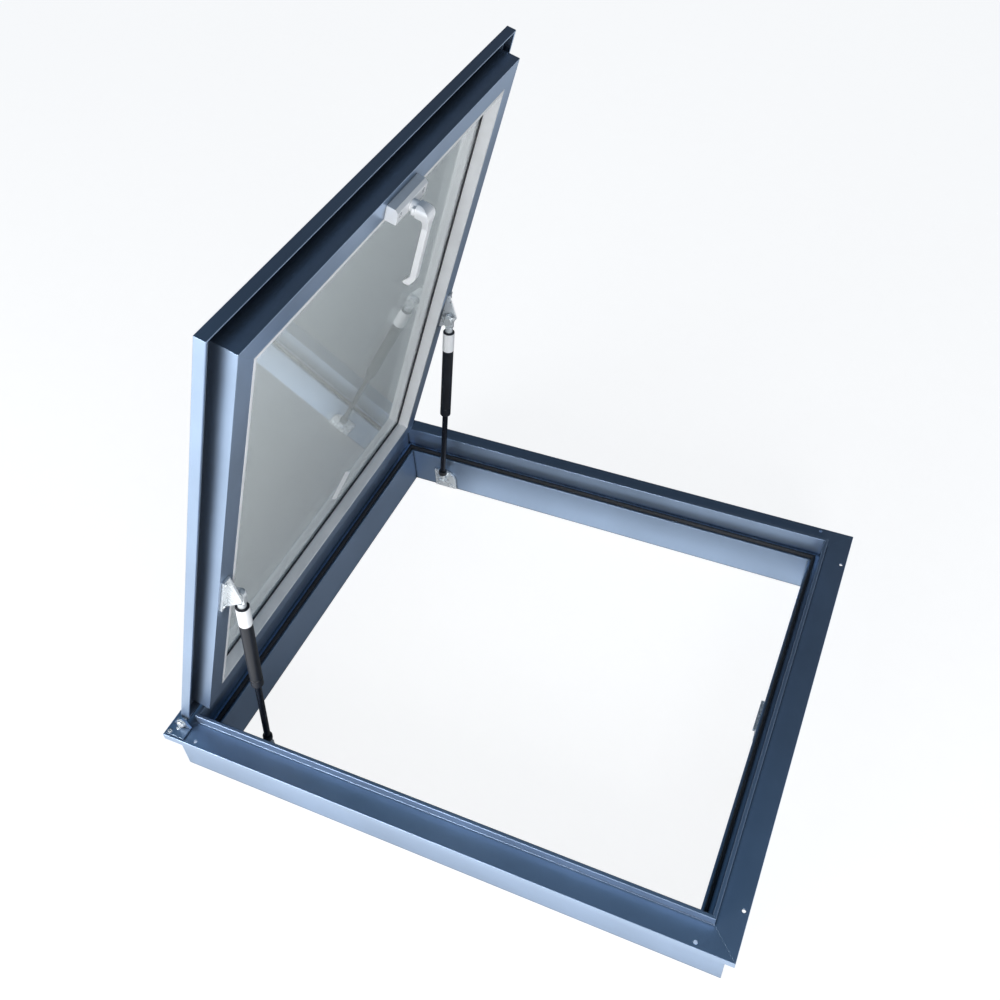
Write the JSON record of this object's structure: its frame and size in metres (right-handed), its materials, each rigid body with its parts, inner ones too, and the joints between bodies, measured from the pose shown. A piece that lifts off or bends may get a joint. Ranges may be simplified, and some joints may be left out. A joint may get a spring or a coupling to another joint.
{
  "type": "roof skylight",
  "caption": "Hinged roof skylight: a mitred aluminium frame and a double-glazed sash held open by gas struts, with a turning handle.",
  "frame": {"origin": "middle of the fixed frame, on the underside of its flange", "axes": "+X from the hinge side to the opening side, +Y along the hinge axis, +Z out of the roof"},
  "size_m": [0.7, 0.616, 0.7113],
  "materials": {
    "sash_and_frame_paint": "satin powder coat, dark blue-grey",
    "mill_aluminium": "plain",
    "silver_bead": "satin",
    "zinc_plate": "bright zinc",
    "screw_steel": "bright",
    "strut_paint": "satin black",
    "black_rod": "black",
    "black_plastic": "matte",
    "black_rubber": "matte",
    "sealant": "matte",
    "clear_glass": "clear",
    "handle_silver": "satin"
  },
  "bodies": {
    "frame": {"frame_corner_cleats": "mill_aluminium", "frame_far": "sash_and_frame_paint", "frame_hinge_side": "sash_and_frame_paint", "frame_near": "sash_and_frame_paint", "frame_opening_side": "sash_and_frame_paint", "frame_seal": "black_rubber", "handle_keep": "zinc_plate", "hinge_bracket_far": "zinc_plate", "hinge_bracket_near": "zinc_plate", "hinge_bracket_screws": "screw_steel", "hinge_pins": "zinc_plate", "keep_screws": "screw_steel", "strut_plate_far": "zinc_plate", "strut_plate_near": "zinc_plate", "strut_plate_screws": "screw_steel"},
    "sash": {"glass_edge_sealant": "sealant", "glazing_bead_far": "silver_bead", "glazing_bead_hinge_side": "silver_bead", "glazing_bead_near": "silver_bead", "glazing_bead_opening_side": "silver_bead", "glazing_tape": "black_rubber", "handle_base": "handle_silver", "handle_base_screws": "screw_steel", "hinge_leaf_screws": "screw_steel", "inner_pane": "clear_glass", "outer_pane": "clear_glass", "perimeter_sealant": "sealant", "sash_corner_cleats": "mill_aluminium", "sash_far": "sash_and_frame_paint", "sash_hinge_leaf_far": "zinc_plate", "sash_hinge_leaf_near": "zinc_plate", "sash_hinge_side": "sash_and_frame_paint", "sash_near": "sash_and_frame_paint", "sash_opening_side": "sash_and_frame_paint", "setting_blocks": "black_plastic", "spacer_bar": "mill_aluminium", "strut_bracket_far": "zinc_plate", "strut_bracket_near": "zinc_plate", "strut_bracket_screws": "screw_steel", "strut_sash_studs": "zinc_plate"},
    "tube_near": {"strut_guide_near": "black_plastic", "strut_tube_eye_near": "zinc_plate", "strut_tube_near": "strut_paint"},
    "tube_far": {"strut_guide_far": "black_plastic", "strut_tube_eye_far": "zinc_plate", "strut_tube_far": "strut_paint"},
    "rod_near": {"strut_frame_stud_near": "zinc_plate", "strut_piston_near": "black_plastic", "strut_rod_end_near": "black_plastic", "strut_rod_eye_near": "zinc_plate", "strut_rod_near": "black_rod"},
    "rod_far": {"strut_frame_stud_far": "zinc_plate", "strut_piston_far": "black_plastic", "strut_rod_end_far": "black_plastic", "strut_rod_eye_far": "zinc_plate", "strut_rod_far": "black_rod"},
    "handle": {"handle_lever": "handle_silver", "handle_spindle": "zinc_plate", "handle_tongue": "handle_silver"}
  },
  "joints": [
    {"name": "sash_hinge", "type": "hinge", "parent": "frame", "child": "sash", "pos_m": [-0.331, 0, 0.013], "axis": [0, 1, 0], "range_deg": [0, 71.5], "stiffness_Nm_per_rad": 6, "springref_deg": -171.89},
    {"name": "handle_turn", "type": "hinge", "parent": "sash", "child": "handle", "pos_m": [-0.10124, 0, 0.59096], "axis": [-0.9483, 0, 0.3173], "range_deg": [0, 90]},
    {"name": "strut_pivot_near", "type": "hinge", "parent": "sash", "child": "tube_near", "pos_m": [-0.21014, -0.248, 0.26392], "axis": [0, 1, 0], "range_deg": [0, 4.1]},
    {"name": "strut_slide_near", "type": "slide", "parent": "tube_near", "child": "rod_near", "axis": [-0.124, 0, -0.9923], "range_m": [-0.1176, 0]},
    {"name": "strut_pivot_far", "type": "hinge", "parent": "sash", "child": "tube_far", "pos_m": [-0.21014, 0.248, 0.26392], "axis": [0, 1, 0], "range_deg": [0, 4.1]},
    {"name": "strut_slide_far", "type": "slide", "parent": "tube_far", "child": "rod_far", "axis": [-0.124, 0, -0.9923], "range_m": [-0.1176, 0]}
  ],
  "couplings": [
    {"joint": "strut_pivot_near", "follows": "sash_hinge", "ratio": 0.056553},
    {"joint": "strut_slide_near", "follows": "sash_hinge", "m_per_rad": -0.094104},
    {"joint": "strut_pivot_far", "follows": "sash_hinge", "ratio": 0.056553},
    {"joint": "strut_slide_far", "follows": "sash_hinge", "m_per_rad": -0.094104}
  ]
}
